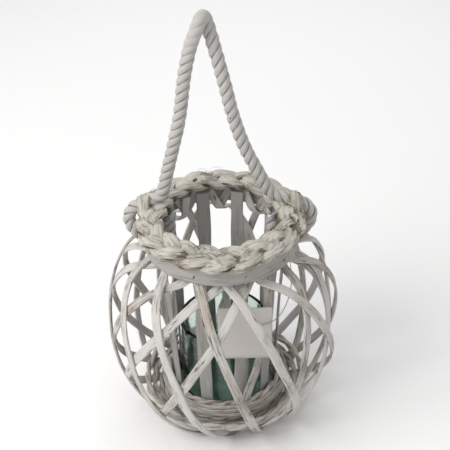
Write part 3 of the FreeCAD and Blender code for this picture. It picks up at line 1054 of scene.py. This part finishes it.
    def tufts(self) -> Sheet:
        """Frayed ends: each a thin three-sided blade that leaves the plait and curls back to it.

        Every blade is the same short arc, turned and scaled by its own draws, with its sides joined
        in one long grid; a blade starts and ends in a point, and the next starts inside the plait.

        Returns:
            The blades' surface.
        """
        draw = np.random.default_rng(71)
        spots = np.radians(np.array(self.frays))
        azimuth = (spots[:, None] + draw.normal(0, 0.045, (len(spots), self.blades))).ravel()
        total = len(azimuth)
        step = np.linspace(0, 1, 7)[None]
        arch = np.sin(math.pi * step)
        reach = draw.uniform(5, 13, (total, 1)) * MM
        heading = draw.normal(0.0, 0.5, (total, 1)) + np.where(draw.random((total, 1)) < 0.5, 0.0, math.pi)
        start = draw.normal(4.0, 5.0, (total, 1)) * MM
        root = (3.2 + draw.uniform(-0.6, 1.2, (total, 1))) * MM
        lift = root + draw.uniform(0.2, 2.2, (total, 1)) * MM * arch
        turned = azimuth[:, None] + reach * step * np.cos(heading) / self.plait_radius
        radius, height, _ = self.lie(turned, start + reach * step * np.sin(heading), lift)
        centre = around(turned, radius, height).reshape(-1, 3)
        taper = np.sqrt(np.sin(math.pi * np.clip(step, 0.03, 0.97)))
        thin = (draw.uniform(0.16, 0.42, (total, 1)) * MM * taper).reshape(-1, 1)
        corner = circle(3)[None]
        side, out = frames(centre, around(turned, 0.3, 1.0).reshape(-1, 3))
        worn = np.repeat(0.45 + 0.5 * draw.random((total, 1)), step.size, axis=0)
        return swept(centre, side, out, thin * np.cos(corner), thin * 0.5 * np.sin(corner),
                     np.arange(len(centre)) * MM, 9.0, worn)

    def band(self) -> Sheet:
        """The hoop round the strips' heads: one bent lath with rounded edges that fills its solid's box.

        Returns:
            The band's surface.
        """
        low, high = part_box("rim_band")
        inner, outer = self.band_walls
        azimuth = circle(420) + math.pi
        turn = circle(40)[None]
        middle = (inner + outer) / 2 + self.band_waver * np.sin(3 * azimuth + self.band_seed) * 0.5
        middle = middle + self.band_waver * 0.3 * np.sin(8 * azimuth)
        height = (low.z + high.z) / 2 + 0.25 * MM * np.sin(2 * azimuth + self.band_seed)
        half = (high.z - low.z) / 2 * (1 + 0.02 * np.sin(5 * azimuth + self.band_seed))[:, None]
        across = half * squarer(np.cos(turn), 0.32)
        furrow = 0.10 * MM * np.sin(across / (0.9 * MM) + np.sin(4 * azimuth)[:, None] * 2)
        rise = (outer - inner) / 2 * squarer(np.sin(turn), 0.45) + np.where(np.sin(turn) > 0.4, furrow, 0.0)
        wear = 0.12 + 0.2 * np.abs(np.sin(2.5 * azimuth + self.band_seed))[:, None]
        return lath(azimuth, middle, height, across, rise, self.band_seed, wear)

    def nails(self) -> list[Sheet]:
        """Ten flat narrow heads and their shanks, each slanted its own way, one at each slat.

        Returns:
            The nails' surfaces.
        """
        low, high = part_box("rim_nails")
        outer = max(high.x, -low.x)
        turn = circle(20)[None]
        profile = np.array(self.nail_profile) * MM
        sheets = []
        for number, azimuth in enumerate(np.radians(Cage.azimuths)):
            axis = np.array([math.sin(azimuth), -math.cos(azimuth), 0.05 * math.sin(number * 2.7)])
            side = np.array([math.cos(azimuth), math.sin(azimuth), 0.0])
            base = around(azimuth, outer, (low.z + high.z) / 2)
            slant = math.radians(52 + 12 * math.sin(number * 1.9))
            longways = math.cos(slant) * side + math.sin(slant) * np.cross(axis, side)
            sideways = np.cross(axis, longways)
            ring = self.nail_half_width * np.cos(turn)[..., None] * longways
            ring = ring + self.nail_half_height * np.sin(turn)[..., None] * sideways
            places = base + profile[:, :1, None] * ring + profile[:, 1:, None] * axis
            sheets.append(Sheet(places, places))
        return sheets

    def build(self) -> None:
        """Makes the plait, the strands over the rope, the frayed ends, the band and the nails."""
        strands = [self.strand(order) for order in range(3)]
        wraps = [self.wrap(-1, 1.0), self.wrap(1, 4.0)]
        rows = (("leaf_plait", strands, Palette.PLAIT, "plait", "rim_plait"),
                ("leaf_wraps", wraps, Palette.PLAIT, "plait"),
                ("plait_tufts", [self.tufts()], Palette.PLAIT, "plait"),
                ("outer_band", [self.band()], Palette.HOOP, "hoop", "rim_band"),
                ("band_nails", self.nails(), Palette.NAIL, "nail", "rim_nails"))
        for name, sheets, finish, slot, *nodes in rows:
            settle(make_piece(name, sheets, finish), "basket", slot, *nodes)


# ---------------------------------------------------------------- the base


@dataclass
class Base:
    """The jar's floor, the rods wound round the slats' feet and the hoop round them."""

    weaver_radius: float = 57.7 * MM
    rod_radius: float = 2.25 * MM
    weavers: int = 4
    outer_weavers: int = 3
    outer_half: float = 3.8 * MM
    outer_start: float = 24.0 * MM
    outer_pitch: float = 10.6 * MM
    outer_gap: float = 0.3 * MM
    twists: int = 11
    twist_out: float = 1.35 * MM
    twist_up: float = 1.7 * MM
    band_walls: tuple = (61.5 * MM, 64.2 * MM)
    band_rods: int = 3
    boss_radius: float = 46.0 * MM
    boss_height: float = 6.65 * MM
    stations: int = 420

    def rounds(self) -> list[tuple[float, float]]:
        """Distance from the axis and height of each wound round, from the innermost out.

        The outer ones lie against the strips: each is a given distance up the globe's profile from
        its foot, and inside it by both layers of strips and the rod's own half.

        Returns:
            The middles of the rounds.
        """
        middles = []
        for number in range(1, self.weavers + 1):
            low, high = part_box(f"base_weaver_{number}")
            middles.append((self.weaver_radius, (low.z + high.z) / 2))
        globe = Globe(stations=1200)
        profile = globe.meridian()[::-1]
        distance = along(profile)
        tangent = unit(np.gradient(profile, axis=0))
        depth = 1.5 * globe.thickness + globe.layer_gap + self.outer_gap + self.outer_half
        inside = profile + np.stack([-tangent[:, 1], tangent[:, 0]], axis=1) * depth
        for order in range(self.outer_weavers):
            here = self.outer_start + order * self.outer_pitch
            middles.append(tuple(float(np.interp(here, distance, column)) for column in inside.T))
        return middles

    def weaver(self, number: int, middle: float, level: float) -> list[Sheet]:
        """Two rods twined round each other all the way round: each turns about the round's middle line.

        Args:
            number: which round, from the lowest.
            middle: its distance from the axis.
            level: its height.

        Returns:
            The rods' surfaces.
        """
        azimuth = circle(self.stations)
        turn = circle(16)[None]
        sheets = []
        for order in range(2):
            phase = self.twists * azimuth + math.pi * order + 1.9 * number
            radius = middle + self.twist_out * np.cos(phase)
            centre = around(azimuth, radius, level + self.twist_up * np.sin(phase))
            side, out = frames(centre, around(azimuth, 1.0, 0.0), closed=True)
            size = self.rod_radius * (1 + 0.10 * np.sin(9 * azimuth + number + order))[:, None]
            wear = 0.25 + 0.2 * math.sin(number * 2.0 + order)
            sheets.append(swept(centre, side, out, size * np.cos(turn) * 1.05, size * np.sin(turn) * 0.95,
                                azimuth * middle, 6.0 * number + order, wear, rows_close=True))
        return sheets

    def wound_band(self) -> list[Sheet]:
        """The hoop round the base: split rods side by side that fill its solid's box and waver.

        Returns:
            The rods' surfaces.
        """
        low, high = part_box("base_hoop")
        inner, outer = self.band_walls
        azimuth = circle(self.stations)
        turn = circle(18)[None]
        half = (high.z - low.z) / (2 * self.band_rods)
        sheets = []
        for order in range(self.band_rods):
            height = low.z + half * (2 * order + 1) + 0.5 * MM * np.sin(5 * azimuth + order) * (order - 1)
            radius = (inner + outer) / 2 + 0.35 * MM * np.sin(7 * azimuth + 2.2 * order)
            size = (1 + 0.08 * np.sin(11 * azimuth + 1.7 * order))[:, None]
            across = half * 1.02 * size * np.cos(turn)
            rise = (outer - inner) / 2 * size * np.sin(turn)
            sheets.append(lath(azimuth, radius, height, across, rise, 3.0 + order, 0.3 + 0.1 * order))
        return sheets

    def floor(self) -> Sheet:
        """A turned disc with a boss: its profile, distance from the axis by height, turned right round.

        Returns:
            The disc's surface.
        """
        low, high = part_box("base_floor")
        boss, rim, step, middle = self.boss_radius, FLOOR_RADIUS, self.boss_height, 0.4 * MM
        profile = np.array([
            (middle, low.z), (boss - 1.0 * MM, low.z), (boss - 0.3 * MM, low.z + 0.3 * MM),
            (boss, low.z + 1.0 * MM), (boss, step), (rim - 0.6 * MM, step), (rim - 0.2 * MM, step + 0.2 * MM),
            (rim, step + 0.7 * MM), (rim, high.z - 0.7 * MM), (rim - 0.2 * MM, high.z - 0.2 * MM),
            (rim - 0.7 * MM, high.z), (30 * MM, high.z), (middle, high.z)])
        places = around(circle(120)[None], profile[:, :1], profile[:, 1:])
        return Sheet(places, places, 0.2)

    def build(self) -> None:
        """Makes the floor, the rounds and the hoop."""
        settle(make_piece("base_disc", [self.floor()], Palette.FLOOR), "basket", "floor", "base_floor")
        for number, (middle, level) in enumerate(self.rounds(), 1):
            piece = make_piece(f"twined_round_{number}", self.weaver(number, middle, level), Palette.ROD)
            settle(piece, "basket", "weaver", f"base_weaver_{number}")
        settle(make_piece("base_band", self.wound_band(), Palette.ROD), "basket", "hoop", "base_hoop")


# ---------------------------------------------------------------- the jar


@dataclass
class Jar:
    """The glass jar that holds the candle: a heavy foot, an even wall and a fire-polished lip."""

    wall: float = 3.6 * MM
    floor: float = 6.0 * MM
    foot_round: float = 5.0 * MM
    well_round: float = 3.0 * MM
    margin: float = 3.0 * MM
    waver: float = 0.0016

    def build(self) -> None:
        """The profile runs from the middle of the foot up outside, over the lip and down inside."""
        low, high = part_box("glass_jar")
        radius = (high.x - low.x) / 2
        lip_round = self.wall / 2
        inner = radius - self.wall
        inner_floor = low.z + self.floor
        foot_round, well_round = self.foot_round, self.well_round
        foot = arc((radius - foot_round, low.z + foot_round), foot_round, -math.pi / 2, 0, 9)
        lip = arc((radius - lip_round, high.z - lip_round), lip_round, 0, math.pi, 13)
        well = arc((inner - well_round, inner_floor + well_round), well_round, 0, -math.pi / 2, 7)
        wall = np.linspace(low.z + foot_round + self.margin, high.z - lip_round - self.margin, 24)
        inner_wall = np.linspace(wall[-1], inner_floor + 5 * MM, 24)
        outside = np.stack([np.full_like(wall, radius), wall], axis=1)
        inside = np.stack([np.full_like(wall, inner), inner_wall], axis=1)
        punt = [(reach * MM, low.z + rise * MM) for reach, rise in ((0.4, 1.2), (20, 0.9), (34, 0.3))]
        middle = [(22 * MM, inner_floor - 0.1 * MM), (0.4 * MM, inner_floor + 0.3 * MM)]
        profile = np.concatenate([punt, foot, outside, lip, inside, well, middle])
        azimuth = circle(128)[None]
        waver = 1 + self.waver * np.sin(3 * azimuth + 40 * profile[:, 1:])
        places = around(azimuth, profile[:, :1] * waver - self.waver * radius, profile[:, 1:])
        piece = make_piece("green_glass_jar", [Sheet(places, places)], Palette.GLASS)
        settle(piece, "jar", "jar", "glass_jar")


# ---------------------------------------------------------------- cords


@dataclass
class LaidCord:
    """A cord of strands laid round each other to the right, with ribbed yarns in each strand.

    The share is one strand's radius over the cord's, and the lay is the length of one turn.
    """

    radius: float
    strands: int
    share: float
    lay: float
    points: int
    yarns: int
    rib: float = 0.05

    def sheets(self, line: np.ndarray, guide: np.ndarray, loosen: np.ndarray | float = 0.0) -> list[Sheet]:
        """Each strand winds round the line: its middle is the line plus an arm that turns once a lay.

        Args:
            line: the cord's middle line, evenly spaced.
            guide: a direction that the line never runs along.
            loosen: how smooth the lay is at each point, 0 for a clear lay and 1 for none.

        Returns:
            The strands' surfaces.
        """
        distance = along(line)
        side, out = frames(line, guide)
        loosen = np.broadcast_to(loosen, distance.shape)[:, None]
        sheets = []
        for order in range(self.strands):
            angle = TAU * (distance / self.lay + order / self.strands)
            arm = np.cos(angle)[:, None] * side - np.sin(angle)[:, None] * out
            centre = line + self.radius * (1 - self.share) * arm
            beside, radial = frames(centre, arm)
            turn = circle(self.points)[None]
            twist = (distance / self.lay * TAU * 0.45)[:, None]
            ribs = 1 + self.rib * np.cos(self.yarns * (turn - twist)) * (1 - 0.8 * loosen)
            lump = 1 + wander(distance, 5.0 * order, self.lay * 1.7, 0.035)[:, None]
            across = self.radius * (self.share + 0.05) * np.cos(turn) * ribs * lump
            rise = self.radius * self.share * np.sin(turn) * ribs * lump
            sheet = swept(centre, beside, radial, across, rise, distance, 0.0)
            shell = sheet.places - line[:, None]
            depth = np.linalg.norm(shell, axis=-1)
            full = np.where(np.sin(turn) > -0.35, self.radius * 0.985, depth)
            smoothed = depth + (full - depth) * loosen * 0.85
            sheet.places = line[:, None] + shell * (smoothed / np.maximum(depth, 1e-9))[..., None]
            sheet.grain = sheet.grain + np.array([order * 0.4, order * 0.1, 0.0])
            # hollow is painted shade on each strand's inner side and flanks, where it lies in the lay's
            # grooves, fainter where the lay is loosened.
            sheet.hollow = np.clip(1.15 - 1.55 * np.sin(turn), 0, 1) * (1 - 0.7 * loosen)
            sheets.append(sheet)
        return sheets


@dataclass
class RopeHandle:
    """The rope: both tails inside the basket, round the band, over the rim and up to the folded crown.

    Its points are in millimetres: to the right, behind the rope's plane, and up.
    """

    plane: float = 20.0 * MM
    radius: float = 6.3 * MM
    station: float = 0.85 * MM
    blend_foot: float = 0.2365
    blend_head: float = 0.2525
    left_tail: tuple = (
        (-49.9, 0, 216.3), (-49.8, 0, 204.75), (-50.0, 0, 192.8), (-60.5, 0, 185.5), (-74.0, 0, 187.3),
        (-84.0, 0, 195.8), (-88.0, 0, 205.6), (-88.4, 0, 213.6), (-82.5, 0, 222.7), (-70.6, 0, 228.0))
    handle: tuple = (
        (-54.5, 0, 233.15), (-50.5, 0, 254.0), (-42.5, 0, 284.0), (-34.2, 0, 318.0), (-29.5, 0, 355.0),
        (-23.0, 0, 384.0), (-17.0, -5.5, 400.0), (-13.2, -4.5, 410.5), (-9.8, 5.0, 410.5), (-6.0, 7.0, 397.0),
        (-1.0, 3.0, 379.0), (6.5, 0, 348.0), (12.8, 0, 318.0), (23.0, 0, 284.0), (38.0, 0, 254.0),
        (47.0, 0, 233.15))
    right_tail: tuple = (
        (63.6, 0, 228.5), (80.5, 0, 222.7), (86.9, 0, 213.6), (87.0, 0, 205.6), (83.0, 0, 195.8),
        (73.0, 0, 187.3), (60.5, 0, 185.5), (50.0, 0, 192.8), (49.8, 0, 204.75), (49.9, 0, 216.3))

    def rope(self) -> None:
        """Three strands laid along the route, smoother over the crown's left side.

        The rope bends between the basket and the handle above each foot.
        """
        points = self.left_tail + self.handle + self.right_tail
        line = smooth_route("rope_route", [(x * MM, self.plane + y * MM, z * MM) for x, y, z in points])
        length = along(line)[-1]
        line = resample(line, int(length / self.station))
        distance = along(line)
        before = distance[np.argmax(line[:, 2])] - distance
        loosen = np.clip((before + 8 * MM) / (10 * MM), 0, 1) * np.clip((46 * MM - before) / (26 * MM), 0, 1)
        laid = LaidCord(self.radius, 3, 0.505, 27.5 * MM, 36, 9, 0.055)
        strands = laid.sheets(line, np.array([0.0, 1.0, 0.0]), loosen * 0.8)
        piece = make_piece("laid_rope", strands, Palette.ROPE)
        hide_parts("rope_handle", "rope_eye_left", "rope_eye_right")
        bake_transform(piece)
        LOG.info("laid_rope: %.0f mm long", length / MM)

    def binding(self, side: str, wire: float = 0.42 * MM, turns: float = 8.3) -> None:
        """Wire whipped round a tail: a coil of touching turns that climbs from the solid's foot to its head.

        Args:
            side: left or right.
            wire: the wire's radius.
            turns: how many turns it takes.
        """
        node = f"wire_binding_{side}"
        low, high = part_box(node)
        angle = np.linspace(0, TAU * turns, int(40 * turns))
        centre = np.array([(low.x + high.x) / 2, (low.y + high.y) / 2, low.z + wire])
        reach = (high.x - low.x) / 2 - wire + 0.12 * MM * np.sin(angle * 0.37)
        climb = angle / TAU * (high.z - low.z - 2 * wire) / turns
        line = centre + np.stack([reach * np.cos(angle), reach * np.sin(angle), climb], axis=1)
        turn = circle(8)[None]
        beside, out = frames(line, np.array([0.0, 0.0, 1.0]))
        sheet = swept(line, beside, out, wire * np.cos(turn), wire * np.sin(turn), along(line), 0.0)
        settle(make_piece(f"whipping_{side}", [sheet], Palette.WIRE), "basket", "wire", node)

    def build(self) -> None:
        """Makes the rope and its two wire whippings."""
        self.rope()
        for side in ("left", "right"):
            self.binding(side)


# ---------------------------------------------------------------- the tag


@dataclass
class Tag:
    """A blank card on a thread that hangs from under the plait."""

    hole: tuple = (24.0 * MM, 151.0 * MM)
    hole_radius: float = 1.3 * MM
    bow: float = 0.35 * MM
    thread_radius: float = 0.5 * MM
    knot_radius: float = 0.45 * MM
    knot_scale: float = 0.42
    plane: float = -68.0 * MM
    thread_line: tuple = (
        (60.0, -51.2, 213.8), (62.4, -51.8, 201.0), (63.6, -53.6, 188.0), (62.2, -58.6, 174.5),
        (57.0, -65.0, 162.5), (49.5, -69.2, 153.0), (41.0, -69.7, 148.2), (33.0, -70.0, 147.0),
        (26.4, -70.8, 149.8), (23.8, -68.8, 150.9), (24.0, -65.4, 151.0))

    def card(self) -> bpy.types.Object:
        """A card with a punched hole: rings of points run from the hole's round to the card's outline.

        Each ring is the hole's circle mixed with the outline, and the card bows by a fraction of a
        millimetre across its width.

        Returns:
            The new object.
        """
        low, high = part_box("tag_card")
        thick = (high.y - low.y) / 2
        turn = circle(256)
        direction = np.stack([np.cos(turn), np.sin(turn)], axis=1)
        hole = np.array(self.hole)
        small, large = np.array([low.x, low.z]), np.array([high.x, high.z])
        room = np.where(direction > 0, large - hole, hole - small) / np.maximum(np.abs(direction), 1e-9)
        share = (np.linspace(0, 1, 20) ** 1.6)[:, None, None]
        outline = hole + direction * room.min(axis=1)[:, None]
        punched = hole + direction * self.hole_radius
        flat = punched[None] * (1 - share) + outline[None] * share
        from_middle = (flat[..., 0] - (small[0] + large[0]) / 2) / (large[0] - small[0]) * 2
        bow = self.bow * (from_middle ** 2 - 0.4)
        front = np.stack([flat[..., 0], self.plane - thick + bow, flat[..., 1]], axis=-1)
        back = front + np.array([0.0, 2 * thick, 0.0])
        places = np.concatenate([front, back[::-1]])
        return make_piece("blank_tag", [Sheet(places, places, rows_close=True)], Palette.CARD)

    def knot(self, end: np.ndarray) -> bpy.types.Object:
        """An overhand knot behind the card.

        It is a tube along the trefoil (sin t + 2 sin 2t, cos t - 2 cos 2t, -1.2 sin 3t).

        Args:
            end: where the thread comes out of the card.

        Returns:
            The new object.
        """
        t = circle(120)
        right, up = np.sin(t) + 2 * np.sin(2 * t), np.cos(t) - 2 * np.cos(2 * t)
        line = end + np.stack([right, -np.sin(3 * t) * 1.2, up], axis=1) * self.knot_scale * MM
        side, out = frames(line, np.array([0.0, 1.0, 0.0]), closed=True)
        turn = circle(10)[None]
        across, rise = self.knot_radius * np.cos(turn), self.knot_radius * np.sin(turn)
        sheet = swept(line, side, out, across, rise, t * MM, 0.0, rows_close=True)
        return make_piece("thread_knot", [sheet], Palette.THREAD)

    def build(self) -> None:
        """Makes the card, its thread and the knot."""
        card = settle(self.card(), "tag", "tag", "tag_card")
        points = [tuple(part * MM for part in point) for point in self.thread_line]
        line = smooth_route("thread_route", points)
        line = resample(line, 420)
        laid = LaidCord(self.thread_radius, 2, 0.5, 2.4 * MM, 10, 3)
        thread = make_piece("tag_thread", laid.sheets(line, np.array([0.35, -0.45, 0.82])), Palette.THREAD)
        settle(thread, "tag", "string", "tag_string")
        knot = settle(self.knot(line[-1]), "tag", "string")


# ---------------------------------------------------------------- the studio


@dataclass
class Studio:
    """A pale floor, soft lights and the camera in front of and above the lantern."""

    aim: tuple = (3.93 * MM, 0.0, 212.09 * MM)
    elevation: float = 33.7
    distance: float = 900.0 * MM
    roll: float = -1.35
    lens: float = 76.32
    sensor: float = 36.0
    clip: tuple = (0.05, 30.0)
    sky: float = 0.62
    lamp_aim: tuple = (0.0, 0.0, 0.15)
    floor_front: float = -3.0
    floor_back: float = 2.0
    floor_bend: float = 1.2
    floor_top: float = 4.0
    floor_half_width: float = 4.0

    def camera(self) -> None:
        """Stands the camera back from the aim along its elevation, and rolls it about its own axis."""
        data = bpy.data.cameras.new("camera")
        data.sensor_width = self.sensor
        data.lens = self.lens
        data.clip_start, data.clip_end = self.clip
        camera = bpy.data.objects.new("camera", data)
        rise = math.radians(self.elevation)
        camera.location = (self.aim[0], self.aim[1] - self.distance * math.cos(rise),
                           self.aim[2] + self.distance * math.sin(rise))
        camera.rotation_mode = "XYZ"
        camera.rotation_euler = (math.pi / 2 - rise, 0.0, 0.0)
        camera.rotation_mode = "QUATERNION"
        turn = camera.rotation_euler.to_quaternion()
        camera.rotation_quaternion = turn @ type(turn)((0.0, 0.0, 1.0), math.radians(self.roll))
        bpy.context.scene.collection.objects.link(camera)
        bpy.context.scene.camera = camera

    def lamp(self, name: str, place: tuple, size: float, watts: float, tone: Colour) -> None:
        """A square soft light that looks at the lantern.

        Args:
            name: its name.
            place: where it stands.
            size: the length of its side.
            watts: its power.
            tone: its colour.
        """
        data = bpy.data.lights.new(name, "AREA")
        data.size = size
        data.energy = watts
        data.color = tone
        lamp = bpy.data.objects.new(name, data)
        lamp.location = place
        away = lamp.location - type(lamp.location)(self.lamp_aim)
        lamp.rotation_mode = "QUATERNION"
        lamp.rotation_quaternion = away.to_track_quat("Z", "Y")
        bpy.context.scene.collection.objects.link(lamp)

    def floor(self) -> None:
        """A wide pale floor that rises smoothly behind: level, then a quarter round, then upright."""
        angle = np.linspace(0.1, math.pi / 2, 14)
        level = np.linspace(self.floor_front, self.floor_back, 12)
        bend = self.floor_bend
        run = np.concatenate([level, self.floor_back + bend * np.sin(angle), [self.floor_back + bend]])
        rise = np.concatenate([np.zeros(12), bend - bend * np.cos(angle), [self.floor_top]])
        width = np.linspace(-self.floor_half_width, self.floor_half_width, 9)[None]
        places = np.stack(np.broadcast_arrays(width, run[:, None], rise[:, None]), axis=-1)
        faces = Sheet(places, places, columns_close=False).faces(0)
        mesh = bpy.data.meshes.new("studio_floor")
        mesh.from_pydata(places.reshape(-1, 3).tolist(), [], [face[::-1] for face in faces])
        mesh.polygons.foreach_set("use_smooth", np.ones(len(mesh.polygons), bool))
        mesh.materials.append(Plaster("studio_plaster").material())
        floor = bpy.data.objects.new("studio_floor", mesh)
        bpy.context.scene.collection.objects.link(floor)

    def build(self) -> None:
        """Sets the camera, the floor, the sky and the lights."""
        self.camera()
        self.floor()
        world = bpy.data.worlds.new("studio_sky")
        world.use_nodes = True
        sky = world.node_tree.nodes["Background"].inputs
        sky["Color"].default_value = (1.0, 1.0, 1.0, 1.0)
        sky["Strength"].default_value = self.sky
        bpy.context.scene.world = world
        bpy.context.scene.view_settings.view_transform = "Standard"
        self.lamp("key", (-1.0, -0.6, 1.2), 1.0, 18.0, (1.0, 0.99, 0.97))
        self.lamp("fill", (1.1, -1.2, 0.8), 1.3, 1.6, (0.97, 0.98, 1.0))
        self.lamp("back", (0.1, 1.1, 1.2), 1.4, 7.0, (1.0, 1.0, 1.0))


def main() -> None:
    """Builds the studio, the cords and then the rest, in order."""
    logging.basicConfig(level=logging.INFO, format="%(name)s: %(message)s")
    Studio().build()
    RopeHandle().build()
    Tag().build()
    globe = Globe()
    for part in (globe, Cage(globe), Rim(), Base(), Jar()):
        part.build()


if __name__ == "__main__":
    main()
